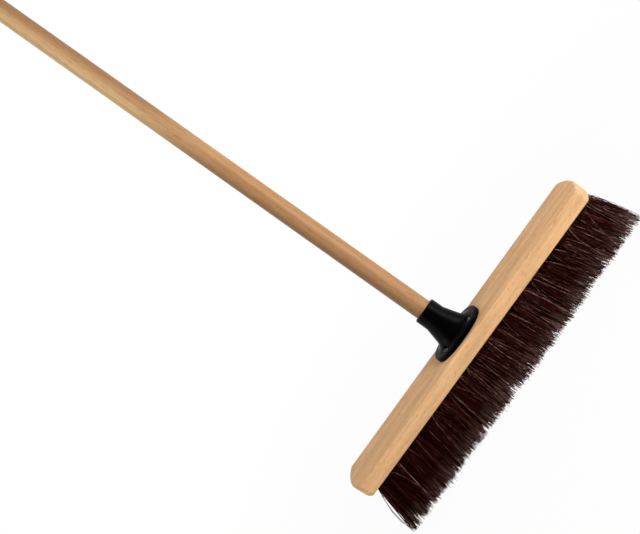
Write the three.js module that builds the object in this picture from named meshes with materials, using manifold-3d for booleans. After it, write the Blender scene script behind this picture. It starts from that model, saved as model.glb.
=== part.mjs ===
// Bassine broom: a wooden head filled with stiff plant fibre, and a round wooden handle
// that leans back in a moulded plastic socket screwed to the top of the head.
// Millimetres, +Z up. The origin is on the floor under the middle of the head,
// +X runs along the head and the handle leans back towards +Y.

import * as THREE from 'three';
import { mergeVertices } from 'three/addons/utils/BufferGeometryUtils.js';
import Module from 'manifold-3d';

const wasm = await Module();
wasm.setup();

// Head block
const blockLength = 450;
const blockWidth = 60;
const blockThickness = 21;
const endBow = 10; // how far an end bulges past its own corners, in plan
const cornerRadius = 6; // where a long side runs into a bowed end
const topEdgeRadius = 3; // rounding along the top edge
const bottomEdgeRadius = 2; // and along the bottom edge

// Bristles
const bristleTrim = 69; // free length, from the underside of the block to the floor
const tuftPitch = 17.5; // from tuft to tuft along a row, stretched a little until the rows fill the head
const tuftRows = 5;
const tuftRadius = 2.5; // from a tuft's middle strand to the strands round it, at the block
const tuftSpread = 5.8; // the same at the floor
const tuftRing = 3; // strands round the middle one
const tuftLand = 1; // material left between an outer tuft and the edge of its slice
const strandRootRadius = 1.6;
const strandTipRadius = 2.5;
const strandSides = 3;
const endFlare = 16; // how far the last tuft of a row splays past its root, along the head
const sideFlare = 9; // the same for the outer rows, across the head
const strandStray = 0.5; // how far a strand's tip strays from its place
const strandUnevenness = 3; // how much shorter than the trim a strand may be
const strandSeed = 13; // picks one repeatable scatter of the strands

// Slices of the backing that carry the tufts, let into the underside of the block
const sliceNames = ['left_end', 'left_middle', 'right_middle', 'right_end'];
const sliceThickness = 5;
const sliceRim = 5; // width of the block's own rim round the slices

// Handle
const handleDiameter = 25.4;
const handleLength = 1350;
const handleEndDiameter = 22.4; // lower end, where it is turned down to enter the socket
const handleTaper = 30; // length of the turned down stretch
const handleEndChamfer = 1.5;
const handleDome = 10; // height of the rounded top
const handleLean = THREE.MathUtils.degToRad(18); // from the upright, away from the sweeping side

// Socket
const flangeLength = 78.6;
const flangeWidth = 46;
const flangeFullness = 2.4; // exponent of the oval: 2 is an ellipse, more is squarer
const flangeEdge = 3.2; // height of the straight edge under the rounding
const flangeRound = 2.5;
const socketHeight = 50.6; // from the block to the rim, along the handle
const rimDiameter = 33.4;
const rimBand = 17; // plain band below the rim
const rimLip = 3.3; // rounding of the rim's outer edge
const footHeight = 14.5; // where the tapered wall starts, along the handle
const footLength = 43.8; // across the wall there, along the head
const footWidth = 33; // and across the head
const socketFloor = 3.5; // least wall between the bore and the block

// Screws
const screwDiameter = 3.5;
const screwHeadDiameter = 7;
const screwHeadHeight = 2.4;
const screwHeadRim = 0.8; // height of the plain rim under the head's dome
const screwPoint = 4; // length of the tapered point
const flangeScrewToEnd = 17; // from a flange screw to the end of the flange
const flangeScrewToSide = 11; // and to the flange's long side
const flangeScrewSeat = 5; // height of the head's seat above the block
const woodUnderScrew = 4; // left between a flange screw's hole and the slices below
const handleScrewHeight = 29; // from the block, along the handle
const handleScrewBite = 9; // how far it goes into the handle
const handleScrewSpotFace = 1.2; // depth of the flat cut for its head in the socket's back
const screwSpotClearance = 0.6; // round a screw head in its spot face

// Fits
const fitGap = 0.3; // between pieces that touch

// Fineness of the round surfaces
const turnSegments = 36;
const loftSegments = 48;
const screwSegments = 16;
const arcSegments = 10;
const edgeSteps = 3;
const lipSteps = 2;
const filletSteps = 4;
const domeSteps = 6;

const undersideHeight = bristleTrim;
const topHeight = undersideHeight + blockThickness;
const handleRadius = handleDiameter / 2;
const handleEndRadius = handleEndDiameter / 2;
const rimRadius = rimDiameter / 2;
const screwRadius = screwDiameter / 2;
const screwHeadRadius = screwHeadDiameter / 2;
const lean = new THREE.Vector3(0, Math.sin(handleLean), Math.cos(handleLean));

// The bore's floor is square to the handle, so its lower edge sets the wall below it.
const boreFloor = (socketFloor + (handleEndRadius + fitGap) * lean.y) / lean.z;

const wood = (color) => new THREE.MeshStandardMaterial({ color, roughness: 0.65, metalness: 0 });
const materials = {
  block: wood(0xd8ae80),
  handle: wood(0xbb8652),
  socket: new THREE.MeshStandardMaterial({ color: 0x17171a, roughness: 0.45, metalness: 0 }),
  screw: new THREE.MeshStandardMaterial({ color: 0x45464a, roughness: 0.4, metalness: 1 }),
  bristle: new THREE.MeshStandardMaterial({ color: 0x2b1510, roughness: 0.8, metalness: 0 }),
};

// Solids and booleans

function toSolid(geometry) {
  const bare = geometry.clone();
  bare.deleteAttribute('normal');
  bare.deleteAttribute('uv');
  const merged = mergeVertices(bare, 1e-4);
  const mesh = new wasm.Mesh({
    numProp: 3,
    vertProperties: Float32Array.from(merged.attributes.position.array),
    triVerts: Uint32Array.from(merged.index.array),
  });
  return new wasm.Manifold(mesh);
}

function toGeometry(solid) {
  const mesh = solid.getMesh();
  const geometry = new THREE.BufferGeometry();
  geometry.setAttribute('position', new THREE.BufferAttribute(Float32Array.from(mesh.vertProperties), 3));
  geometry.setIndex(new THREE.BufferAttribute(Uint32Array.from(mesh.triVerts), 1));
  geometry.computeVertexNormals();
  return geometry;
}

function cut(geometry, ...tools) {
  const result = tools.reduce((solid, tool) => solid.subtract(toSolid(tool)), toSolid(geometry));
  return toGeometry(result);
}

// A profile of [radius, height] pairs turned round the Z axis.
function turned(profile, segments) {
  const points = profile.map(([radius, height]) => new THREE.Vector2(radius, height));
  return new THREE.LatheGeometry(points, segments).rotateX(Math.PI / 2);
}

// A round tool along Z, for holes and spot faces.
function drill(radius, from, to) {
  return turned([[0, from], [radius, from], [radius, to], [0, to]], screwSegments);
}

// Rings of points, each with the same count, joined in turn and capped at both ends.
function loft(rings) {
  const count = rings[0].length;
  const positions = rings.flat().flatMap((point) => point.toArray());
  const index = [];
  for (let level = 0; level + 1 < rings.length; level += 1) {
    for (let i = 0; i < count; i += 1) {
      const a = level * count + i;
      const b = level * count + ((i + 1) % count);
      index.push(a, b, b + count, a, b + count, a + count);
    }
  }
  const last = (rings.length - 1) * count;
  for (let i = 1; i + 1 < count; i += 1) {
    index.push(0, i + 1, i);
    index.push(last, last + i, last + i + 1);
  }
  const geometry = new THREE.BufferGeometry();
  geometry.setAttribute('position', new THREE.Float32BufferAttribute(positions, 3));
  geometry.setIndex(index);
  return geometry;
}

// A quarter round of unit radius in steps, from its upright side to its level one.
function quarterRound(steps) {
  return Array.from({ length: steps + 1 }, (_, i) => {
    const angle = (i / steps) * (Math.PI / 2);
    return { rise: Math.sin(angle), inset: 1 - Math.cos(angle) };
  });
}

function piece(name, geometry, material) {
  const mesh = new THREE.Mesh(geometry, material);
  mesh.name = name;
  return mesh;
}

// Plan of the head: straight sides, bowed ends and rounded corners, moved in by an inset

const halfLength = blockLength / 2;
const halfWidth = blockWidth / 2;
const endRadius = (halfWidth ** 2 + endBow ** 2) / (2 * endBow);
const endCentre = halfLength - endRadius;

function planRing(inset, height) {
  const bow = endRadius - inset;
  const side = halfWidth - inset;
  const corner = Math.max(cornerRadius - inset, fitGap);
  const across = side - corner;
  const along = Math.sqrt((bow - corner) ** 2 - across ** 2);
  const turn = Math.atan2(across, along);
  const arc = (centreX, centreY, radius, from, to) => {
    return new THREE.EllipseCurve(centreX, centreY, radius, radius, from, to).getPoints(arcSegments);
  };
  const rightEnd = [
    ...arc(endCentre + along, -across, corner, -Math.PI / 2, -turn),
    ...arc(endCentre, 0, bow, -turn, turn).slice(1, -1),
    ...arc(endCentre + along, across, corner, turn, Math.PI / 2),
  ];
  const leftEnd = rightEnd.map(({ x, y }) => ({ x: -x, y: -y }));
  return [...rightEnd, ...leftEnd].map(({ x, y }) => new THREE.Vector3(x, y, height));
}

// Half the length of the plan, moved in by an inset, at a distance from its centre line.
function planReach(inset, y) {
  return endCentre + Math.sqrt((endRadius - inset) ** 2 - y ** 2);
}

// The plan as an upright solid.
function planSolid(inset, from, to) {
  return loft([planRing(inset, from), planRing(inset, to)]);
}

// Flange screws: two in front and two behind

const flangeScrewX = flangeLength / 2 - flangeScrewToEnd;
const flangeScrewY = flangeWidth / 2 - flangeScrewToSide;
const flangeScrews = [
  { name: 'flange_screw_left', x: -flangeScrewX, y: -flangeScrewY },
  { name: 'flange_screw_right', x: flangeScrewX, y: -flangeScrewY },
  { name: 'flange_screw_back_left', x: -flangeScrewX, y: flangeScrewY },
  { name: 'flange_screw_back_right', x: flangeScrewX, y: flangeScrewY },
];

// Head block: rounded edges, a shallow recess below for the slices, and screw holes above

const sliceRecess = sliceThickness + fitGap;
const flangeScrewDepth = blockThickness - sliceRecess - woodUnderScrew;

function blockGeometry() {
  const rounding = quarterRound(edgeSteps);
  const lower = rounding.map(({ rise, inset }) => {
    return planRing(bottomEdgeRadius * inset, undersideHeight + bottomEdgeRadius * (1 - rise));
  });
  const upper = rounding.map(({ rise, inset }) => {
    return planRing(topEdgeRadius * inset, topHeight - topEdgeRadius * (1 - rise));
  });
  const body = loft([...lower.reverse(), ...upper]);
  const recess = planSolid(sliceRim, undersideHeight - sliceRecess, undersideHeight + sliceRecess);
  const pilots = flangeScrews.map(({ x, y }) => {
    const hole = drill(screwRadius + fitGap, topHeight - flangeScrewDepth, topHeight + fitGap);
    return hole.translate(x, y, 0);
  });
  return cut(body, recess, ...pilots);
}

// Tufts: staggered rows whose ends follow the bow of the block

const sliceInset = sliceRim + fitGap;
const tuftInset = sliceInset + tuftLand + tuftRadius + strandRootRadius;
const outerRow = halfWidth - tuftInset;
const rowPitch = (2 * outerRow) / (tuftRows - 1);
const tuftReach = planReach(tuftInset, 0) - fitGap;
const tuftStep = tuftReach / Math.round(tuftReach / tuftPitch);

function tuftCentres() {
  const centres = [];
  for (let row = 0; row < tuftRows; row += 1) {
    const y = row * rowPitch - outerRow;
    const inLine = row % 2 === Math.floor(tuftRows / 2) % 2;
    const stagger = inLine ? 0 : 1 / 2;
    const last = Math.floor(planReach(tuftInset, y) / tuftStep - stagger);
    for (let i = -last - 2 * stagger; i <= last; i += 1) {
      centres.push(new THREE.Vector2((i + stagger) * tuftStep, y));
    }
  }
  return centres;
}

// Repeatable random numbers from 0 to 1.
function randomSource(seed) {
  let state = seed;
  return () => {
    state = (Math.imul(state, 1664525) + 1013904223) >>> 0;
    return state / 2 ** 32;
  };
}

// One strand is a slim tapered prism. Roots and tips are spread by the same rule, so none cross.
function strand(root, tip, top, bottom, twist) {
  const section = (centre, radius, height) => {
    const corner = (_, side) => {
      const angle = twist + (side * 2 * Math.PI) / strandSides;
      const x = centre.x + radius * Math.cos(angle);
      const y = centre.y + radius * Math.sin(angle);
      return new THREE.Vector3(x, y, height);
    };
    return Array.from({ length: strandSides }, corner);
  };
  return loft([section(tip, strandTipRadius, bottom), section(root, strandRootRadius, top)]);
}

// The middle strand of a tuft is cut flat at the floor; those round it are a little uneven.
function tuft(centre, random) {
  const tipCentre = new THREE.Vector2(
    centre.x * (1 + endFlare / tuftReach),
    centre.y * (1 + sideFlare / outerRow),
  );
  const rootHeight = undersideHeight + sliceThickness / 2;
  const turn = random() * 2 * Math.PI;
  const between = turn + Math.PI / tuftRing;
  const strands = [strand(centre, tipCentre, rootHeight, 0, between)];
  for (let i = 0; i < tuftRing; i += 1) {
    const angle = turn + (i * 2 * Math.PI) / tuftRing;
    const out = new THREE.Vector2(Math.cos(angle), Math.sin(angle));
    const root = centre.clone().addScaledVector(out, tuftRadius);
    const tip = tipCentre.clone().addScaledVector(out, tuftSpread);
    tip.x += (2 * random() - 1) * strandStray;
    tip.y += (2 * random() - 1) * strandStray;
    strands.push(strand(root, tip, rootHeight, random() * strandUnevenness, angle));
  }
  return strands;
}

// Cuts between slices fall a quarter pitch past a tuft, where no row has a root.
function sliceCuts() {
  const sliceCount = sliceNames.length;
  const tuftsPerSlice = Math.round(blockLength / sliceCount / tuftStep);
  const steps = Array.from({ length: sliceCount - 1 }, (_, i) => i + 1 - sliceCount / 2);
  const cuts = steps.map((step) => (step * tuftsPerSlice + 1 / 4) * tuftStep);
  return [-blockLength, ...cuts, blockLength];
}

function bristleGeometries() {
  const random = randomSource(strandSeed);
  const tufts = tuftCentres().map((centre) => ({ x: centre.x, strands: tuft(centre, random) }));
  const backing = toSolid(planSolid(sliceInset, undersideHeight, undersideHeight + sliceThickness));
  const cuts = sliceCuts();
  return sliceNames.map((_, i) => {
    const from = cuts[i] + fitGap / 2;
    const to = cuts[i + 1] - fitGap / 2;
    const keep = new THREE.BoxGeometry(to - from, blockWidth, 2 * topHeight);
    keep.translate((from + to) / 2, 0, topHeight);
    const slice = backing.intersect(toSolid(keep));
    const strands = tufts.filter(({ x }) => x > from && x < to).flatMap((each) => each.strands);
    return toGeometry(strands.reduce((solid, each) => solid.add(toSolid(each)), slice));
  });
}

// Handle: turned down below, straight, and rounded above; heights run along its own axis

const handleBottom = boreFloor + fitGap;
const handleTop = handleBottom + handleLength;
const handleScrewTip = handleRadius - handleScrewBite;

function handleGeometry() {
  const dome = quarterRound(domeSteps).map(({ rise, inset }) => {
    return [handleRadius * (1 - inset), handleTop - handleDome * (1 - rise)];
  });
  const stick = turned([
    [0, handleBottom],
    [handleEndRadius - handleEndChamfer, handleBottom],
    [handleEndRadius, handleBottom + handleEndChamfer],
    [handleRadius, handleBottom + handleTaper],
    ...dome,
  ], turnSegments);
  const hole = drill(screwRadius + fitGap, handleScrewTip - fitGap, handleDiameter);
  return cut(stick, hole.rotateX(-Math.PI / 2).translate(0, 0, handleScrewHeight));
}

// Socket: an oval flange whose rounded top sweeps up into a tapered round wall

function ring(centre, halfX, halfY, tilt, fullness) {
  return Array.from({ length: loftSegments }, (_, i) => {
    const angle = (i * 2 * Math.PI) / loftSegments;
    const power = (value) => Math.sign(value) * Math.abs(value) ** (2 / fullness);
    const point = new THREE.Vector3(halfX * power(Math.cos(angle)), halfY * power(Math.sin(angle)), 0);
    return point.applyAxisAngle(new THREE.Vector3(1, 0, 0), -tilt).add(centre);
  });
}

function flangeRing(height, inset) {
  const centre = new THREE.Vector3(0, 0, height);
  return ring(centre, flangeLength / 2 - inset, flangeWidth / 2 - inset, 0, flangeFullness);
}

function wallRing(height, halfX, halfY) {
  return ring(lean.clone().multiplyScalar(height), halfX, halfY, handleLean, 2);
}

// Curves that leave the flange level and meet the wall along its own slope.
function filletRings(from, to, above) {
  const rings = [];
  for (let step = 1; step < filletSteps; step += 1) {
    rings.push(from.map((start, i) => {
      const slope = to[i].clone().sub(above[i]);
      const run = (start.z - to[i].z) / slope.z;
      const corner = to[i].clone().addScaledVector(slope, run);
      return new THREE.QuadraticBezierCurve3(start, corner, to[i]).getPoint(step / filletSteps);
    }));
  }
  return rings;
}

const bandFoot = socketHeight - rimBand;

// Half the socket's outer size across the head, at a height on the tapered wall.
function wallDepth(height) {
  const share = (height - footHeight) / (bandFoot - footHeight);
  return THREE.MathUtils.lerp(footWidth / 2, rimRadius, share);
}

const handleScrewSeat = wallDepth(handleScrewHeight) - handleScrewSpotFace;

function socketGeometry() {
  const edge = quarterRound(lipSteps).map(({ rise, inset }) => {
    return flangeRing(flangeEdge + flangeRound * rise, flangeRound * inset);
  });
  const foot = wallRing(footHeight, footLength / 2, footWidth / 2);
  const band = wallRing(bandFoot, rimRadius, rimRadius);
  const lip = quarterRound(lipSteps).map(({ rise, inset }) => {
    const radius = rimRadius - rimLip * inset;
    return wallRing(socketHeight - rimLip * (1 - rise), radius, radius);
  });
  const fillet = filletRings(edge.at(-1), foot, band);
  const body = loft([flangeRing(0, 0), ...edge, ...fillet, foot, band, ...lip]);
  const bore = turned([
    [0, boreFloor],
    [handleEndRadius + fitGap, boreFloor],
    [handleEndRadius + fitGap, handleBottom + handleEndChamfer],
    [handleRadius + fitGap, handleBottom + handleTaper],
    [handleRadius + fitGap, socketHeight + rimLip],
    [0, socketHeight + rimLip],
  ], turnSegments).rotateX(-handleLean);
  const headRoom = screwHeadRadius + screwSpotClearance;
  const flangeHoles = flangeScrews.flatMap(({ x, y }) => [
    drill(screwRadius + fitGap, -fitGap, flangeScrewSeat + fitGap).translate(x, y, 0),
    drill(headRoom, flangeScrewSeat, socketHeight).translate(x, y, 0),
  ]);
  const sideways = (tool) => {
    return tool.rotateX(-Math.PI / 2).translate(0, 0, handleScrewHeight).rotateX(-handleLean);
  };
  const handleHole = sideways(drill(screwRadius + fitGap, handleScrewTip, handleScrewSeat + fitGap));
  const handleSpot = sideways(drill(headRoom, handleScrewSeat, handleScrewSeat + flangeWidth));
  return cut(body, bore, ...flangeHoles, handleHole, handleSpot);
}

// Screws: a low domed head, a plain shank and a point; the head's underside is at zero

function screwGeometry(length) {
  const dome = quarterRound(edgeSteps).map(({ rise, inset }) => {
    return [screwHeadRadius * (1 - inset), screwHeadRim + (screwHeadHeight - screwHeadRim) * rise];
  });
  return turned([
    [0, -length],
    [screwRadius, screwPoint - length],
    [screwRadius, 0],
    [screwHeadRadius, 0],
    ...dome,
  ], screwSegments);
}

// Assembly

const broom = new THREE.Group();
broom.add(piece('block', blockGeometry(), materials.block));

bristleGeometries().forEach((geometry, i) => {
  broom.add(piece(`bristles_${sliceNames[i]}`, geometry, materials.bristle));
});

const fitting = new THREE.Group();
fitting.position.z = topHeight + fitGap;
fitting.add(piece('socket', socketGeometry(), materials.socket));
const flangeScrewLength = flangeScrewSeat + fitGap + flangeScrewDepth;
flangeScrews.forEach(({ name, x, y }) => {
  const screw = piece(name, screwGeometry(flangeScrewLength), materials.screw);
  screw.position.set(x, y, flangeScrewSeat + fitGap);
  fitting.add(screw);
});
broom.add(fitting);

const leaning = new THREE.Group();
leaning.rotation.x = -handleLean;
leaning.add(piece('handle', handleGeometry(), materials.handle));
const handleScrew = piece('handle_screw', screwGeometry(handleScrewSeat - handleScrewTip), materials.screw);
handleScrew.position.set(0, handleScrewSeat + fitGap, handleScrewHeight);
handleScrew.rotation.x = -Math.PI / 2;
leaning.add(handleScrew);
fitting.add(leaning);

export default broom;
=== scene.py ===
"""Looks of a bassine broom: fine meshes, loose fibres, wood, plastic and a plain studio.

Metres, +Z up. +X runs along the head, -Y is the sweeping side and the handle leans back towards +Y.
"""

import math
import random

import bpy
from mathutils import Matrix, Vector


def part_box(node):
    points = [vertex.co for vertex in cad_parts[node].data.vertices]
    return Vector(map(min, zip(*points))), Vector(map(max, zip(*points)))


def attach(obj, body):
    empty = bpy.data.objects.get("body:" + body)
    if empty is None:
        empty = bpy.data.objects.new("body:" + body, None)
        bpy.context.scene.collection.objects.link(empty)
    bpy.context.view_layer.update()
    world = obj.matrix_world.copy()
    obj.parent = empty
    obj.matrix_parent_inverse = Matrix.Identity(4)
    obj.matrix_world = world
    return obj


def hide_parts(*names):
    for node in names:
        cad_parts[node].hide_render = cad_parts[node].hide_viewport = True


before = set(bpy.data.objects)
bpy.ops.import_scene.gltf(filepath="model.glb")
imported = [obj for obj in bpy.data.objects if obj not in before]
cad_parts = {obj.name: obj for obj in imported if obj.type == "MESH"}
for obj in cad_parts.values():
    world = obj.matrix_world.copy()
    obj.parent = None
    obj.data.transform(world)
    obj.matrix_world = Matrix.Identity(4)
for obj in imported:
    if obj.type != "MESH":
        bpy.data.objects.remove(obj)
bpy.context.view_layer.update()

MM = 0.001

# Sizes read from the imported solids
block_low, block_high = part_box("block")
socket_low, socket_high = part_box("socket")
HALF_LENGTH = block_high.x
HALF_WIDTH = block_high.y
UNDERSIDE = block_low.z
TOP = block_high.z
SEAT = socket_low.z
FLANGE_HALF_LENGTH = socket_high.x
FLANGE_HALF_WIDTH = -socket_low.y

# Head block
END_BOW = 10 * MM
CORNER_RADIUS = 6 * MM
TOP_EDGE_RADIUS = 3 * MM
BOTTOM_EDGE_RADIUS = 2 * MM
TUFT_HOLE_RADIUS = 4.2 * MM
TUFT_HOLE_DEPTH = 12 * MM

# Bristles
BRISTLE_NODES = ("left_end", "left_middle", "right_middle", "right_end")
NODE_EDGES = (-102.7 * MM, 4.5 * MM, 111.6 * MM)  # along the head, between one node and the next
TUFT_ROWS = 5
ROW_TUFTS = 24
TUFT_PITCH = 18.1 * MM
TUFT_INSET = 10.4 * MM  # from a long side of the block to the outer row
TUFT_SHIFT = 6 * MM  # of all the rows, along the head
TUFT_LEAN = 3 * MM  # how far a tuft may lean along the head
SPREAD_ALONG = 16 * MM  # of a tuft's tips round their middle, along the head
SPREAD_ACROSS = 9.5 * MM  # and across it
SPREAD_POWER = 0.75  # less than 1 widens a tuft soon after its hole
DEPTH_POWER = 1.5  # more than 1 sets a fibre's points closer near its hole
END_FLARE = 17 * MM  # splay of the last tufts along the head
SIDE_FLARE = 12 * MM  # splay of the outer rows across the head
END_POWER = 8  # the higher, the fewer tufts of a row count as its last
END_PACKING = 0.6  # how much the last tufts are held in on their outer side
END_FILL_ALONG = 0.3  # how much they widen inwards
END_FILL_ACROSS = 0.9  # and towards the middle row
FIBRES_PER_TUFT = 150
FIBRE_RADIUS = 0.4 * MM
FIBRE_SIZES = (0.7, 1.25)  # least and greatest share of that radius
FIBRE_TAPER = 0.15
FIBRE_SIDES = 3
FIBRE_STEPS = 6
FIBRE_STRAY = 5 * MM
FIBRE_BEND = 2 * MM
FIBRE_UNEVENNESS = 9 * MM  # how much shorter than its lock a fibre may be
UNEVENNESS_POWER = 5  # the higher, the fewer short fibres
LOCKS_PER_TUFT = 8  # bundles that a tuft's fibres gather into
LOCK_PULL = 0.4
LOCK_UNEVENNESS = 4 * MM
LOCK_TONES = 0.12
WILD_SHARE = 0.05  # of the fibres stray far
WILD_STRAY = 22 * MM
WILD_POWER = 3  # the higher, the closer to an end the wild fibres turn inwards
WILD_PALER = 0.2
RIGHT_PALER = 0.2  # gain of tone towards the right end
PALE_THINNER = 0.35  # how much thinner the palest fibres are
PALE_POWER = 4
END_WEAR = 5 * MM  # how much shorter the fibres are at the right end
WEAR_START = 60 * MM
WEAR_FULL = 214 * MM

# Handle
HANDLE_RADIUS = 12.7 * MM
HANDLE_END_RADIUS = 11.2 * MM
HANDLE_LENGTH = 1350 * MM
HANDLE_TAPER = 30 * MM
HANDLE_CHAMFER = 1.5 * MM
HANDLE_DOME = 10 * MM
HANDLE_LEAN = math.radians(18)

# Painted shade and painted light on the handle's sides, shaped as dark heartwood and pale sapwood, by height
# along the stick
SHADE_LEFT_TO = 100 * MM
SHADE_MIDWAY = 340 * MM
SHADE_RIGHT_FROM = 480 * MM
SHADE_WIDE_TO = 60 * MM
SHADE_NARROW_FROM = 300 * MM
SIDE_LIGHT_START = 340 * MM
SIDE_LIGHT_FULL = 500 * MM

# Socket
FLANGE_FULLNESS = 2.4
FLANGE_EDGE = 3.2 * MM
FLANGE_ROUND = 2.5 * MM
SOCKET_HEIGHT = 50.6 * MM
RIM_RADIUS = 16.7 * MM
RIM_BAND = 17 * MM
RIM_LIP = 2.4 * MM
FOOT_HEIGHT = 14.5 * MM
FOOT_HALF_LENGTH = 21.9 * MM
FOOT_HALF_WIDTH = 16.5 * MM
SOCKET_FLOOR = 3.5 * MM

# Screws
SCREW_RADIUS = 1.75 * MM
SCREW_HEAD_RADIUS = 3.5 * MM
SCREW_HEAD_HEIGHT = 2.4 * MM
SCREW_HEAD_RIM = 0.8 * MM
SCREW_POINT = 4 * MM
SCREW_TIP_RADIUS = 0.0875 * MM
SCREW_SPOT_RADIUS = 4.1 * MM
FLANGE_SCREW_X = 22.3 * MM
FLANGE_SCREW_Y = 12 * MM
FLANGE_SCREW_SEAT = 5 * MM
FLANGE_SCREW_DEPTH = 11.7 * MM
HANDLE_SCREW_HEIGHT = 29 * MM
HANDLE_SCREW_BITE = 9 * MM
HANDLE_SCREW_SPOT = 1.2 * MM
RECESS_REACH = 2 * MM
RECESS_HALF_WIDTH = 0.4 * MM
RECESS_DEPTH = 1.3 * MM
RECESS_TAPER = 0.55

FIT_GAP = 0.3 * MM

BORE_FLOOR = (SOCKET_FLOOR + (HANDLE_END_RADIUS + FIT_GAP) * math.sin(HANDLE_LEAN)) / math.cos(HANDLE_LEAN)
HANDLE_BOTTOM = BORE_FLOOR + FIT_GAP
HANDLE_TOP = HANDLE_BOTTOM + HANDLE_LENGTH
BAND_FOOT = SOCKET_HEIGHT - RIM_BAND
END_RADIUS = (HALF_WIDTH ** 2 + END_BOW ** 2) / (2 * END_BOW)
END_CENTRE = HALF_LENGTH - END_RADIUS
OUTER_ROW = HALF_WIDTH - TUFT_INSET
HALF_ROW = (ROW_TUFTS - 1) / 2 * TUFT_PITCH
FLANGE_SCREWS = {
    "left": (-FLANGE_SCREW_X, -FLANGE_SCREW_Y),
    "right": (FLANGE_SCREW_X, -FLANGE_SCREW_Y),
    "back_left": (-FLANGE_SCREW_X, FLANGE_SCREW_Y),
    "back_right": (FLANGE_SCREW_X, FLANGE_SCREW_Y),
}

FITTING = Matrix.Translation((0, 0, SEAT))
LEANING = FITTING @ Matrix.Rotation(-HANDLE_LEAN, 4, "X")
SIDEWAYS = LEANING @ Matrix.Translation((0, 0, HANDLE_SCREW_HEIGHT)) @ Matrix.Rotation(-math.pi / 2, 4, "X")

# Fineness of the round surfaces
ARC_STEPS = 12
EDGE_STEPS = 6
TURN_SIDES = 72
LOFT_SIDES = 120
HOLE_SIDES = 24
FILLET_STEPS = 10
LIP_STEPS = 6
DOME_TIP = 0.02  # share of its radius at which a dome is closed flat
SMOOTH_ANGLE = math.radians(35)

# Studio
FLOOR_HALF = 40
SHADOW_NEAR = 0.3  # distance from the origin at which the floor's shadow starts to fade
SHADOW_FAR = 0.9  # and at which it is gone
SHADOW_SHARE = 0.05
WORLD_LIGHT = 0.4

# Camera
IMAGE_WIDTH = 640
SENSOR_WIDTH = 36
FOCAL_PIXELS = 953.5
CAMERA_PLACE = Vector((0.08482, -1.06082, 0.54300))
CAMERA_AZIMUTH = math.radians(5.883)
CAMERA_ELEVATION = math.radians(13.971)
CAMERA_ROLL = math.radians(56.363)


# Meshes

def new_object(name, points, faces, place=Matrix()):
    mesh = bpy.data.meshes.new(name)
    mesh.from_pydata(points, [], faces)
    made = bpy.data.objects.new(name, mesh)
    made.matrix_world = place
    bpy.context.scene.collection.objects.link(made)
    return made


def lofted(rings):
    """Points and faces of rings joined in turn and capped at both ends."""
    count = len(rings[0])
    points = [point for ring in rings for point in ring]
    faces = []
    for level in range(len(rings) - 1):
        start = level * count
        for i in range(count):
            j = (i + 1) % count
            faces.append((start + i, start + j, start + count + j, start + count + i))
    last = len(points) - count
    faces.append(tuple(reversed(range(count))))
    faces.append(tuple(range(last, last + count)))
    return points, faces


def circle(radius, height, sides):
    angles = [2 * math.pi * i / sides for i in range(sides)]
    return [(radius * math.cos(angle), radius * math.sin(angle), height) for angle in angles]


def turned(profile, sides):
    """Points and faces of (radius, height) pairs turned round Z."""
    return lofted([circle(radius, height, sides) for radius, height in profile])


def drill(radius, low, high, place):
    return new_object("drill", *turned([(radius, low), (radius, high)], HOLE_SIDES), place)


def joined(tools):
    """Several tools that don't touch, as one object."""
    points = []
    faces = []
    for tool in tools:
        start = len(points)
        points += [tool.matrix_world @ vertex.co for vertex in tool.data.vertices]
        faces += [tuple(start + i for i in face.vertices) for face in tool.data.polygons]
        bpy.data.objects.remove(tool)
    return new_object("tools", points, faces)


def cut(piece, *tools):
    """Cuts closed tools out of a piece and deletes them."""
    for tool in tools:
        step = piece.modifiers.new("cut", "BOOLEAN")
        step.operation = "DIFFERENCE"
        step.solver = "EXACT"
        step.object = tool
    graph = bpy.context.evaluated_depsgraph_get()
    whole = piece.data
    piece.data = bpy.data.meshes.new_from_object(piece.evaluated_get(graph))
    piece.modifiers.clear()
    bpy.data.meshes.remove(whole)
    for tool in tools:
        bpy.data.objects.remove(tool)


def dress(piece, node_name, material):
    """Smooths a finished piece, gives it its material and lets it stand for its solid."""
    mesh = piece.data
    mesh.materials.clear()
    mesh.materials.append(material)
    mesh.polygons.foreach_set("use_smooth", [True] * len(mesh.polygons))
    mesh.set_sharp_from_angle(angle=SMOOTH_ANGLE)
    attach(piece, "root")
    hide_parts(node_name)


def quarter(steps):
    """Rise and inset of a unit quarter round, from its upright side to its level one."""
    angles = [math.pi / 2 * i / steps for i in range(steps + 1)]
    return [(math.sin(angle), 1 - math.cos(angle)) for angle in angles]


# Shader nodes

def node(tree, kind, inputs, **settings):
    """Adds a node, then fills or links its inputs by name or number."""
    made = tree.nodes.new(kind)
    for key, value in settings.items():
        setattr(made, key, value)
    for key, value in inputs.items():
        if isinstance(value, bpy.types.NodeSocket):
            tree.links.new(value, made.inputs[key])
        else:
            made.inputs[key].default_value = value
    return made


def noise(tree, coords, scale, detail=2.0):
    """Noise from 0 to 1, with its own frequency per metre along each axis."""
    spread = node(tree, "ShaderNodeMapping", {"Vector": coords, "Scale": scale})
    inputs = {"Vector": spread.outputs[0], "Scale": 1.0, "Detail": detail}
    return node(tree, "ShaderNodeTexNoise", inputs).outputs["Fac"]


def ranged(tree, value, low, high, to_low=0.0, to_high=1.0):
    inputs = {"Value": value, "From Min": low, "From Max": high, "To Min": to_low, "To Max": to_high}
    return node(tree, "ShaderNodeMapRange", inputs).outputs["Result"]


def math_node(tree, operation, first, second=0.0):
    return node(tree, "ShaderNodeMath", {0: first, 1: second}, operation=operation).outputs[0]


def mixed(tree, share, under, over):
    return node(tree, "ShaderNodeMix", {0: share, 6: under, 7: over}, data_type="RGBA").outputs[2]


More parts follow.
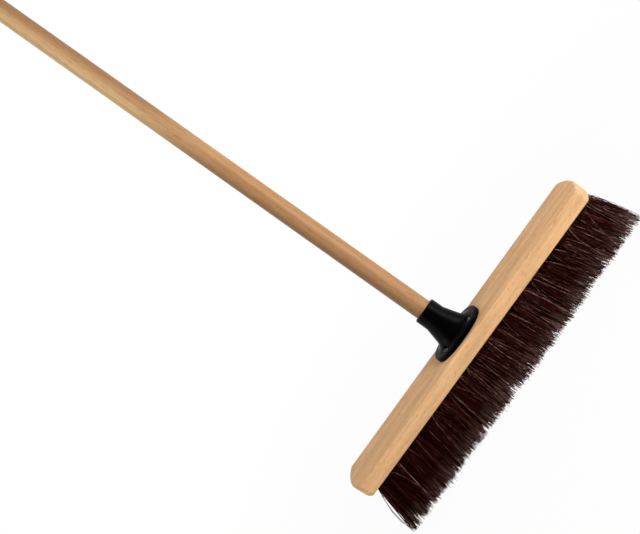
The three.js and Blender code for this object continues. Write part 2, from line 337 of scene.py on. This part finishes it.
def ramp(tree, value, stops):
    made = node(tree, "ShaderNodeValToRGB", {"Fac": value})
    elements = made.color_ramp.elements
    while len(elements) < len(stops):
        elements.new(1.0)
    for element, (place, colour) in zip(elements, stops):
        element.position = place
        element.color = (*colour, 1)
    return made.outputs["Color"]


def bumped(tree, height, strength, distance):
    inputs = {"Height": height, "Strength": strength, "Distance": distance}
    return node(tree, "ShaderNodeBump", inputs).outputs[0]


def new_material(name, **sockets):
    """A material whose uniform numbers are set on its shader's own sockets."""
    made = bpy.data.materials.new(name)
    made.use_nodes = True
    shader = made.node_tree.nodes["Principled BSDF"]
    for key, value in sockets.items():
        shader.inputs[key.replace("_", " ")].default_value = value
    return made, made.node_tree, shader


def finish_shader(tree, shader, colour, roughness, normal):
    tree.links.new(colour, shader.inputs["Base Color"])
    tree.links.new(roughness, shader.inputs["Roughness"])
    tree.links.new(normal, shader.inputs["Normal"])


def own_coords(tree):
    return node(tree, "ShaderNodeTexCoord", {}).outputs["Object"]


# Materials

def block_wood():
    """Pale, fine hardwood with short dark flecks and its grain along the head."""
    made, tree, shader = new_material("pale_hardwood", Specular_IOR_Level=0.25)
    coords = own_coords(tree)
    figure = noise(tree, coords, (14, 110, 110), 3.0)
    grain = noise(tree, coords, (16, 620, 620), 3.0)
    flecks = ranged(tree, noise(tree, coords, (120, 1500, 1500), 1.0), 0.6, 0.72)
    colour = ramp(tree, figure, [(0.3, (0.88, 0.525, 0.255)), (0.7, (0.66, 0.375, 0.175))])
    colour = mixed(tree, ranged(tree, grain, 0.3, 0.75, 0.0, 0.3), colour, (0.47, 0.25, 0.115, 1))
    colour = mixed(tree, math_node(tree, "MULTIPLY", flecks, 0.6), colour, (0.25, 0.13, 0.06, 1))
    roughness = ranged(tree, grain, 0.2, 0.8, 0.5, 0.68)
    height = math_node(tree, "SUBTRACT", grain, flecks)
    finish_shader(tree, shader, colour, roughness, bumped(tree, height, 0.25, 0.2 * MM))
    return made


def handle_wood():
    """Varnished brown hardwood with its grain along the stick, a dark band of painted shade that is shaped as
    heartwood and winds round it, and a pale streak of painted light beside it towards the top.
    """
    sockets = {"Coat_Weight": 0.1, "Coat_Roughness": 0.35, "Specular_IOR_Level": 0.2}
    made, tree, shader = new_material("varnished_hardwood", **sockets)
    coords = own_coords(tree)
    axes = node(tree, "ShaderNodeSeparateXYZ", {"Vector": coords}).outputs
    # Which side of the stick the painted shade band lies on, by height: the left side near the socket,
    # turning to the right side higher up
    winding = ramp(tree, axes["Z"], [
        (SHADE_LEFT_TO, (0, 0, 0)),
        (SHADE_MIDWAY, (0.2, 0.2, 0.2)),
        (SHADE_RIGHT_FROM, (1, 1, 1)),
    ])
    turn = math_node(tree, "MULTIPLY", axes["X"], ranged(tree, winding, 0.0, 1.0, -1.0, 1.0))
    wider = ranged(tree, axes["Z"], SHADE_WIDE_TO, SHADE_NARROW_FROM, 4 * MM, -2 * MM)
    # Painted shade: a dark band down one side of the stick, shaped as heartwood
    painted_shade = ranged(tree, math_node(tree, "ADD", turn, wider), -7 * MM, 9 * MM)
    beside = ranged(tree, painted_shade, 0.0, 0.8, 1.0, 0.0)
    # Painted light: a pale streak on the upper stick, on the side away from the painted shade, shaped as
    # sapwood
    painted_light = math_node(tree, "MULTIPLY", ranged(tree, axes["Z"], SIDE_LIGHT_START, SIDE_LIGHT_FULL), beside)
    figure = noise(tree, coords, (90, 90, 3), 3.0)
    grain = noise(tree, coords, (750, 750, 12), 3.0)
    flecks = ranged(tree, noise(tree, coords, (1300, 1300, 60), 1.0), 0.6, 0.72)
    colour = ramp(tree, figure, [(0.3, (0.57, 0.295, 0.115)), (0.7, (0.44, 0.22, 0.082))])
    # Pale colour of the painted light streak
    colour = mixed(tree, painted_light, colour, (0.86, 0.56, 0.27, 1))
    # Dark colour of the painted shade band
    colour = mixed(tree, math_node(tree, "MULTIPLY", painted_shade, 0.65), colour, (0.2, 0.105, 0.05, 1))
    colour = mixed(tree, ranged(tree, grain, 0.3, 0.75, 0.0, 0.35), colour, (0.26, 0.12, 0.05, 1))
    colour = mixed(tree, math_node(tree, "MULTIPLY", flecks, 0.5), colour, (0.13, 0.055, 0.02, 1))
    roughness = ranged(tree, grain, 0.2, 0.8, 0.4, 0.58)
    height = math_node(tree, "SUBTRACT", grain, flecks)
    finish_shader(tree, shader, colour, roughness, bumped(tree, height, 0.2, 0.15 * MM))
    return made


def socket_plastic():
    """Black moulded plastic with a fine satin texture, glossier where it turns away from the eye."""
    made, tree, shader = new_material("black_plastic")
    coords = own_coords(tree)
    cloud = noise(tree, coords, (90, 90, 90), 3.0)
    fine = noise(tree, coords, (2200, 2200, 2200), 2.0)
    colour = ramp(tree, cloud, [(0.3, (0.0003, 0.0003, 0.0005)), (0.7, (0.0008, 0.0008, 0.0011))])
    roughness = ranged(tree, cloud, 0.3, 0.7, 0.28, 0.38)
    facing = node(tree, "ShaderNodeLayerWeight", {"Blend": 0.5}).outputs["Facing"]
    tree.links.new(ranged(tree, facing, 0.04, 0.2, 0.008, 0.06), shader.inputs["Specular IOR Level"])
    finish_shader(tree, shader, colour, roughness, bumped(tree, fine, 0.12, 0.1 * MM))
    return made


def screw_steel():
    """Dull plated steel, a little cloudy."""
    made, tree, shader = new_material("dull_steel", Metallic=1.0)
    coords = own_coords(tree)
    cloud = noise(tree, coords, (500, 500, 500), 3.0)
    colour = ramp(tree, cloud, [(0.35, (0.03, 0.03, 0.032)), (0.65, (0.07, 0.07, 0.073))])
    roughness = ranged(tree, cloud, 0.3, 0.7, 0.3, 0.45)
    finish_shader(tree, shader, colour, roughness, bumped(tree, cloud, 0.1, 0.1 * MM))
    return made


def bristle_fibre():
    """Stiff dark palm fibre: each strand has its own tone and more or less dust at its cut tip."""
    made, tree, shader = new_material("palm_fibre", Specular_IOR_Level=0.02)
    tone = node(tree, "ShaderNodeAttribute", {}, attribute_name="tone").outputs["Fac"]
    along = node(tree, "ShaderNodeAttribute", {}, attribute_name="along").outputs["Fac"]
    mottle = noise(tree, own_coords(tree), (500, 500, 70), 2.0)
    colour = ramp(tree, tone, [
        (0.0, (0.012, 0.0011, 0.0007)),
        (0.5, (0.036, 0.0042, 0.0026)),
        (0.8, (0.098, 0.022, 0.0145)),
        (0.94, (0.21, 0.09, 0.066)),
        (1.0, (0.40, 0.235, 0.185)),
    ])
    colour = mixed(tree, ranged(tree, mottle, 0.4, 0.58, 0.0, 0.8), colour, (0.012, 0.0014, 0.0009, 1))
    uneven = math_node(tree, "FRACT", math_node(tree, "MULTIPLY", tone, 9.0))
    dust = math_node(tree, "MULTIPLY", ranged(tree, along, 0.78, 1.0), ranged(tree, uneven, 0.2, 0.9))
    colour = mixed(tree, dust, colour, (0.185, 0.108, 0.092, 1))
    roughness = ranged(tree, mottle, 0.3, 0.7, 0.45, 0.7)
    finish_shader(tree, shader, colour, roughness, bumped(tree, mottle, 0.3, 0.1 * MM))
    return made


# Head block

def arc(centre_x, centre_y, radius, start, end):
    angles = [start + (end - start) * i / ARC_STEPS for i in range(ARC_STEPS + 1)]
    return [(centre_x + radius * math.cos(angle), centre_y + radius * math.sin(angle)) for angle in angles]


def plan(inset):
    """The head's outline, moved in by an inset: a bowed end between two corners, and its mirror image."""
    bow = END_RADIUS - inset
    corner = CORNER_RADIUS - inset
    across = HALF_WIDTH - CORNER_RADIUS
    along = math.sqrt((bow - corner) ** 2 - across ** 2)
    turn = math.atan2(across, along)
    corner_x = END_CENTRE + along
    right = arc(corner_x, -across, corner, -math.pi / 2, -turn)
    right += arc(END_CENTRE, 0, bow, -turn, turn)[1:-1]
    right += arc(corner_x, across, corner, turn, math.pi / 2)
    left = [(-x, y) for x, y in reversed(right)]
    return right + left


def tuft_centres():
    """Staggered rows of tufts: every other row has one less."""
    centres = []
    for row in range(TUFT_ROWS):
        y = OUTER_ROW * (2 * row / (TUFT_ROWS - 1) - 1)
        count = ROW_TUFTS - row % 2
        centres += [(TUFT_SHIFT + (i - (count - 1) / 2) * TUFT_PITCH, y) for i in range(count)]
    return centres


def build_block(material):
    levels = []
    for rise, inset in reversed(quarter(EDGE_STEPS)):
        levels.append((UNDERSIDE + BOTTOM_EDGE_RADIUS * (1 - rise), BOTTOM_EDGE_RADIUS * inset))
    for rise, inset in quarter(EDGE_STEPS):
        levels.append((TOP - TOP_EDGE_RADIUS * (1 - rise), TOP_EDGE_RADIUS * inset))
    rings = [[(x, y, z) for x, y in plan(inset)] for z, inset in levels]
    block = new_object("head_block", *lofted(rings))
    tools = []
    for x, y in tuft_centres():
        place = Matrix.Translation((x, y, UNDERSIDE))
        tools.append(drill(TUFT_HOLE_RADIUS, -TUFT_HOLE_DEPTH, TUFT_HOLE_DEPTH, place))
    for x, y in FLANGE_SCREWS.values():
        place = Matrix.Translation((x, y, TOP))
        tools.append(drill(SCREW_RADIUS + FIT_GAP, -FLANGE_SCREW_DEPTH, FLANGE_SCREW_DEPTH, place))
    cut(block, joined(tools))
    dress(block, "block", material)


# Bristles

def packed(tip, centre):
    """Holds in the outer side of a row's last tufts, and widens them inwards."""
    reach = (centre[0] - TUFT_SHIFT) / HALF_ROW
    last = reach ** END_POWER
    along = 1 - END_PACKING * last if tip.x * reach > 0 else 1 + END_FILL_ALONG * last
    across = 1 + END_FILL_ACROSS * last if tip.y * centre[1] <= 0 else 1
    return Vector((tip.x * along, tip.y * across, 0))


def fibre_line(rng, centre, lean, lock, wild):
    """Points down the middle of one fibre, from inside its hole to its cut tip."""
    x, y = centre
    angle = rng.uniform(0, 2 * math.pi)
    share = math.sqrt(rng.random())
    out = Vector((math.cos(angle) * share, math.sin(angle) * share, 0))
    root = out * (TUFT_HOLE_RADIUS - FIBRE_RADIUS)
    tip = Vector((out.x * SPREAD_ALONG, out.y * SPREAD_ACROSS, 0)).lerp(lock["place"], LOCK_PULL)
    stray = WILD_STRAY if wild else FIBRE_STRAY
    inward = WILD_STRAY * (x / HALF_LENGTH) ** WILD_POWER if wild else 0
    tip += Vector((rng.uniform(-stray, stray) - inward, rng.uniform(-stray, stray) / 2, 0))
    tip = packed(tip, centre)
    fan = Vector((END_FLARE * x / HALF_LENGTH + lean, SIDE_FLARE * y / OUTER_ROW, 0))
    sway = Vector((rng.gauss(0, FIBRE_BEND), rng.gauss(0, FIBRE_BEND), 0))
    worn = END_WEAR * min(max((x - WEAR_START) / (WEAR_FULL - WEAR_START), 0), 1)
    drop = UNDERSIDE - lock["short"] - worn - rng.random() ** UNEVENNESS_POWER * FIBRE_UNEVENNESS
    line = [Vector((x, y, UNDERSIDE + TUFT_HOLE_DEPTH / 2)) + root]
    for step in range(FIBRE_STEPS):
        share = step / (FIBRE_STEPS - 1)
        down = share ** DEPTH_POWER
        sideways = root.lerp(tip, share ** SPREAD_POWER) + fan * down + sway * math.sin(math.pi * down)
        line.append(Vector((x, y, UNDERSIDE - drop * down)) + sideways)
    return line


def fibre_rings(rng, line, radius):
    """Level rings of points down a fibre, each a little smaller than the one above."""
    twist = rng.uniform(0, 2 * math.pi)
    rings = []
    for i, point in enumerate(line):
        size = radius * (1 - FIBRE_TAPER * i / (len(line) - 1))
        ring = []
        for side in range(FIBRE_SIDES):
            angle = twist - 2 * math.pi * side / FIBRE_SIDES
            ring.append(point + Vector((size * math.cos(angle), size * math.sin(angle), 0)))
        rings.append(ring)
    return rings


def tuft_locks(rng):
    """Bundles that the fibres of one tuft gather into, each cut at its own height."""
    locks = []
    for _ in range(LOCKS_PER_TUFT):
        angle = rng.uniform(0, 2 * math.pi)
        share = math.sqrt(rng.random())
        place = Vector((math.cos(angle) * share * SPREAD_ALONG, math.sin(angle) * share * SPREAD_ACROSS, 0))
        short = rng.random() ** 2 * LOCK_UNEVENNESS
        locks.append({"place": place, "short": short, "tone": rng.gauss(0, LOCK_TONES)})
    return locks


def bristle_mesh(centres, seed):
    """Points, faces, tones and lengths along of every fibre in some tufts."""
    rng = random.Random(seed)
    points, faces, tones, alongs = [], [], [], []
    for centre in centres:
        locks = tuft_locks(rng)
        lean = rng.uniform(-TUFT_LEAN, TUFT_LEAN)
        for i in range(FIBRES_PER_TUFT):
            lock = locks[i % LOCKS_PER_TUFT]
            wild = rng.random() < WILD_SHARE
            line = fibre_line(rng, centre, lean, lock, wild)
            paler = RIGHT_PALER * centre[0] / HALF_LENGTH + (WILD_PALER if wild else 0)
            tone = min(max(rng.random() + lock["tone"] + paler, 0), 1)
            radius = FIBRE_RADIUS * rng.uniform(*FIBRE_SIZES) * (1 - PALE_THINNER * tone ** PALE_POWER)
            start = len(points)
            fibre_points, fibre_faces = lofted(fibre_rings(rng, line, radius))
            points += fibre_points
            faces += [tuple(start + k for k in face) for face in fibre_faces]
            tones += [tone] * len(fibre_points)
            for step in range(len(line)):
                alongs += [step / (len(line) - 1)] * FIBRE_SIDES
    return points, faces, tones, alongs


def fibre_map(mesh, count):
    """A cell of the map for every fibre, so that a painted picture of it keeps each fibre's tone."""
    columns = math.ceil(math.sqrt(count))
    faces_each = len(mesh.polygons) // count
    layer = mesh.uv_layers.new(name="OFBake")
    margin = 0.1
    values = []
    for fibre in range(count):
        left = fibre % columns
        low = fibre // columns
        for face in range(faces_each):
            if face < FIBRE_STEPS * FIBRE_SIDES:
                u = face % FIBRE_SIDES
                v = face // FIBRE_SIDES
                corners = [(u, v), (u + 1, v), (u + 1, v + 1), (u, v + 1)]
            else:
                v = 0 if face == FIBRE_STEPS * FIBRE_SIDES else FIBRE_STEPS
                corners = [(k, v) for k in range(FIBRE_SIDES)]
            for u, v in corners:
                across = margin + (1 - 2 * margin) * u / FIBRE_SIDES
                up = margin + (1 - 2 * margin) * v / FIBRE_STEPS
                values += [(left + across) / columns, (low + up) / columns]
    layer.data.foreach_set("uv", values)


def build_bristles(material):
    groups = {name: [] for name in BRISTLE_NODES}
    for centre in tuft_centres():
        groups[BRISTLE_NODES[sum(centre[0] > edge for edge in NODE_EDGES)]].append(centre)
    for seed, (name, centres) in enumerate(groups.items()):
        points, faces, tones, alongs = bristle_mesh(centres, seed)
        tufts = new_object(f"tufts_{name}", points, faces)
        for key, values in (("tone", tones), ("along", alongs)):
            tufts.data.attributes.new(key, "FLOAT", "POINT").data.foreach_set("value", values)
        fibre_map(tufts.data, len(centres) * FIBRES_PER_TUFT)
        dress(tufts, f"bristles_{name}", material)


# Handle and socket

def domed(radius, foot, top, steps):
    """Pairs of a profile that rounds off from a foot to a top."""
    return [(radius * max(1 - inset, DOME_TIP), foot + (top - foot) * rise) for rise, inset in quarter(steps)]


def build_handle(material):
    profile = [
        (HANDLE_END_RADIUS - HANDLE_CHAMFER, HANDLE_BOTTOM),
        (HANDLE_END_RADIUS, HANDLE_BOTTOM + HANDLE_CHAMFER),
        (HANDLE_RADIUS, HANDLE_BOTTOM + HANDLE_TAPER),
        *domed(HANDLE_RADIUS, HANDLE_TOP - HANDLE_DOME, HANDLE_TOP, LIP_STEPS * 2),
    ]
    handle = new_object("handle_stick", *turned(profile, TURN_SIDES), LEANING)
    cut(handle, drill(SCREW_RADIUS + FIT_GAP, HANDLE_RADIUS - HANDLE_SCREW_BITE, 2 * HANDLE_RADIUS, SIDEWAYS))
    dress(handle, "handle", material)


def oval(centre, half_x, half_y, tilt, fullness):
    """A ring of points on a superellipse; a fullness of 2 is an ellipse."""
    points = []
    for i in range(LOFT_SIDES):
        angle = 2 * math.pi * i / LOFT_SIDES
        x = math.copysign(abs(math.cos(angle)) ** (2 / fullness), math.cos(angle)) * half_x
        y = math.copysign(abs(math.sin(angle)) ** (2 / fullness), math.sin(angle)) * half_y
        points.append(centre + Matrix.Rotation(-tilt, 3, "X") @ Vector((x, y, 0)))
    return points


def flange_ring(height, inset):
    centre = Vector((0, 0, height))
    return oval(centre, FLANGE_HALF_LENGTH - inset, FLANGE_HALF_WIDTH - inset, 0, FLANGE_FULLNESS)


def wall_ring(height, half_x, half_y):
    centre = Vector((0, math.sin(HANDLE_LEAN), math.cos(HANDLE_LEAN))) * height
    return oval(centre, half_x, half_y, HANDLE_LEAN, 2)


def fillet_rings(start, end, above):
    """Curves that leave the flange level and meet the wall along its own slope."""
    rings = []
    for step in range(1, FILLET_STEPS):
        t = step / FILLET_STEPS
        ring = []
        for low, high, beyond in zip(start, end, above):
            slope = high - beyond
            corner = high + slope * ((low.z - high.z) / slope.z)
            ring.append(low * (1 - t) ** 2 + corner * 2 * t * (1 - t) + high * t ** 2)
        rings.append(ring)
    return rings


def handle_screw_seat():
    """How far behind the handle's axis the head of its screw sits, on the tapered wall."""
    share = (HANDLE_SCREW_HEIGHT - FOOT_HEIGHT) / (BAND_FOOT - FOOT_HEIGHT)
    return FOOT_HALF_WIDTH + (RIM_RADIUS - FOOT_HALF_WIDTH) * share - HANDLE_SCREW_SPOT


def build_socket(material):
    edge = []
    for rise, inset in quarter(EDGE_STEPS):
        edge.append(flange_ring(FLANGE_EDGE + FLANGE_ROUND * rise, FLANGE_ROUND * inset))
    foot = wall_ring(FOOT_HEIGHT, FOOT_HALF_LENGTH, FOOT_HALF_WIDTH)
    band = wall_ring(BAND_FOOT, RIM_RADIUS, RIM_RADIUS)
    lip = []
    for rise, inset in quarter(LIP_STEPS):
        radius = RIM_RADIUS - RIM_LIP * inset
        lip.append(wall_ring(SOCKET_HEIGHT - RIM_LIP * (1 - rise), radius, radius))
    rings = [flange_ring(0, 0), *edge, *fillet_rings(edge[-1], foot, band), foot, band, *lip]
    socket = new_object("socket_moulding", *lofted(rings), FITTING)
    bore = [
        (HANDLE_END_RADIUS + FIT_GAP, BORE_FLOOR),
        (HANDLE_END_RADIUS + FIT_GAP, HANDLE_BOTTOM + HANDLE_CHAMFER),
        (HANDLE_RADIUS + FIT_GAP, HANDLE_BOTTOM + HANDLE_TAPER),
        (HANDLE_RADIUS + FIT_GAP, SOCKET_HEIGHT + RIM_LIP),
    ]
    tools = [new_object("bore", *turned(bore, TURN_SIDES), LEANING)]
    for x, y in FLANGE_SCREWS.values():
        place = FITTING @ Matrix.Translation((x, y, 0))
        tools.append(drill(SCREW_RADIUS + FIT_GAP, -FLANGE_SCREW_SEAT, 2 * FLANGE_SCREW_SEAT, place))
        tools.append(drill(SCREW_SPOT_RADIUS, FLANGE_SCREW_SEAT, SOCKET_HEIGHT, place))
    seat = handle_screw_seat()
    tools.append(drill(SCREW_RADIUS + FIT_GAP, 0, 2 * seat, SIDEWAYS))
    tools.append(drill(SCREW_SPOT_RADIUS, seat, 3 * seat, SIDEWAYS))
    cut(socket, *tools)
    dress(socket, "socket", material)


# Screws

def recess_slot(turn, place):
    """One arm of the cross recess, as a tool that narrows downwards."""
    rings = []
    for side in (-1, 1):
        share = 1 + side * RECESS_TAPER
        x = RECESS_REACH * share
        y = RECESS_HALF_WIDTH * share
        height = SCREW_HEAD_HEIGHT + side * RECESS_DEPTH
        rings.append([(-x, -y, height), (x, -y, height), (x, y, height), (-x, y, height)])
    return new_object("slot", *lofted(rings), place @ Matrix.Rotation(turn, 4, "Z"))


def build_screw(name, cad_node, length, place, turn, material):
    profile = [
        (SCREW_TIP_RADIUS, -length),
        (SCREW_RADIUS, SCREW_POINT - length),
        (SCREW_RADIUS, 0),
        (SCREW_HEAD_RADIUS, 0),
        *domed(SCREW_HEAD_RADIUS, SCREW_HEAD_RIM, SCREW_HEAD_HEIGHT, EDGE_STEPS * 2),
    ]
    screw = new_object(name, *turned(profile, HOLE_SIDES * 2), place)
    cut(screw, recess_slot(turn, place), recess_slot(turn + math.pi / 2, place))
    dress(screw, cad_node, material)


def build_screws(material):
    length = FLANGE_SCREW_SEAT + FIT_GAP + FLANGE_SCREW_DEPTH
    for turn, (name, (x, y)) in enumerate(FLANGE_SCREWS.items()):
        place = FITTING @ Matrix.Translation((x, y, FLANGE_SCREW_SEAT + FIT_GAP))
        build_screw(f"screw_flange_{name}", f"flange_screw_{name}", length, place, turn, material)
    seat = handle_screw_seat()
    length = seat - HANDLE_RADIUS + HANDLE_SCREW_BITE
    place = SIDEWAYS @ Matrix.Translation((0, 0, seat + FIT_GAP))
    build_screw("screw_handle", "handle_screw", length, place, 0, material)


# Studio

def sight(tree):
    """One for rays from the camera, or mirrored or let through to it, and zero for light."""
    path = node(tree, "ShaderNodeLightPath", {}).outputs
    mirrored = math_node(tree, "MAXIMUM", path["Is Glossy Ray"], path["Is Transmission Ray"])
    return math_node(tree, "MAXIMUM", path["Is Camera Ray"], mirrored)


def build_floor():
    """A pale floor that stays white to the camera but keeps a faint shadow near the broom."""
    corners = [(FLOOR_HALF * x, FLOOR_HALF * y, 0) for x, y in ((-1, -1), (1, -1), (1, 1), (-1, 1))]
    floor = new_object("floor", corners, [(0, 1, 2, 3)])
    made = bpy.data.materials.new("pale_floor")
    made.use_nodes = True
    tree = made.node_tree
    tree.nodes.clear()
    away = node(tree, "ShaderNodeVectorMath", {0: own_coords(tree)}, operation="LENGTH").outputs["Value"]
    plain = ranged(tree, away, SHADOW_NEAR, SHADOW_FAR, 1 - SHADOW_SHARE, 1.0)
    share = math_node(tree, "MULTIPLY", plain, sight(tree))
    diffuse = node(tree, "ShaderNodeBsdfDiffuse", {"Color": (0.9, 0.9, 0.9, 1)}).outputs[0]
    white = node(tree, "ShaderNodeEmission", {"Color": (1, 1, 1, 1), "Strength": 1.0}).outputs[0]
    mix = node(tree, "ShaderNodeMixShader", {0: share, 1: diffuse, 2: white}).outputs[0]
    node(tree, "ShaderNodeOutputMaterial", {"Surface": mix})
    floor.data.materials.append(made)


def build_world():
    world = bpy.data.worlds.new("studio")
    bpy.context.scene.world = world
    world.use_nodes = True
    tree = world.node_tree
    tree.nodes.clear()
    strength = ranged(tree, sight(tree), 0.0, 1.0, WORLD_LIGHT, 1.0)
    light = node(tree, "ShaderNodeBackground", {"Color": (1, 1, 1, 1), "Strength": strength}).outputs[0]
    node(tree, "ShaderNodeOutputWorld", {"Surface": light})


def add_softbox(name, place, target, size, power):
    light = bpy.data.lights.new(name, "AREA")
    light.shape = "SQUARE"
    light.size = size
    light.energy = power
    lamp = bpy.data.objects.new(name, light)
    lamp.location = place
    lamp.rotation_euler = (Vector(target) - Vector(place)).to_track_quat("-Z", "Y").to_euler()
    bpy.context.scene.collection.objects.link(lamp)


def build_lights():
    add_softbox("key", place=(1.15, -0.8, 0.6), target=(0, 0, 0.1), size=0.8, power=18)
    add_softbox("fill", place=(-1.6, -0.7, 1.3), target=(0, 0.2, 0.6), size=1.0, power=9)


def build_camera():
    """The photograph's viewpoint: a level view turned by its azimuth, tipped down and then rolled."""
    lens = bpy.data.cameras.new("camera")
    lens.sensor_width = SENSOR_WIDTH
    lens.lens = FOCAL_PIXELS * SENSOR_WIDTH / IMAGE_WIDTH
    camera = bpy.data.objects.new("camera", lens)
    turn = Matrix.Rotation(CAMERA_AZIMUTH, 4, "Z") @ Matrix.Rotation(math.pi / 2 - CAMERA_ELEVATION, 4, "X")
    camera.matrix_world = Matrix.Translation(CAMERA_PLACE) @ turn @ Matrix.Rotation(-CAMERA_ROLL, 4, "Z")
    bpy.context.scene.collection.objects.link(camera)
    bpy.context.scene.camera = camera


bpy.context.scene.view_settings.view_transform = "Standard"
build_camera()
build_world()
build_lights()
build_floor()
build_block(block_wood())
build_bristles(bristle_fibre())
build_handle(handle_wood())
build_socket(socket_plastic())
build_screws(screw_steel())
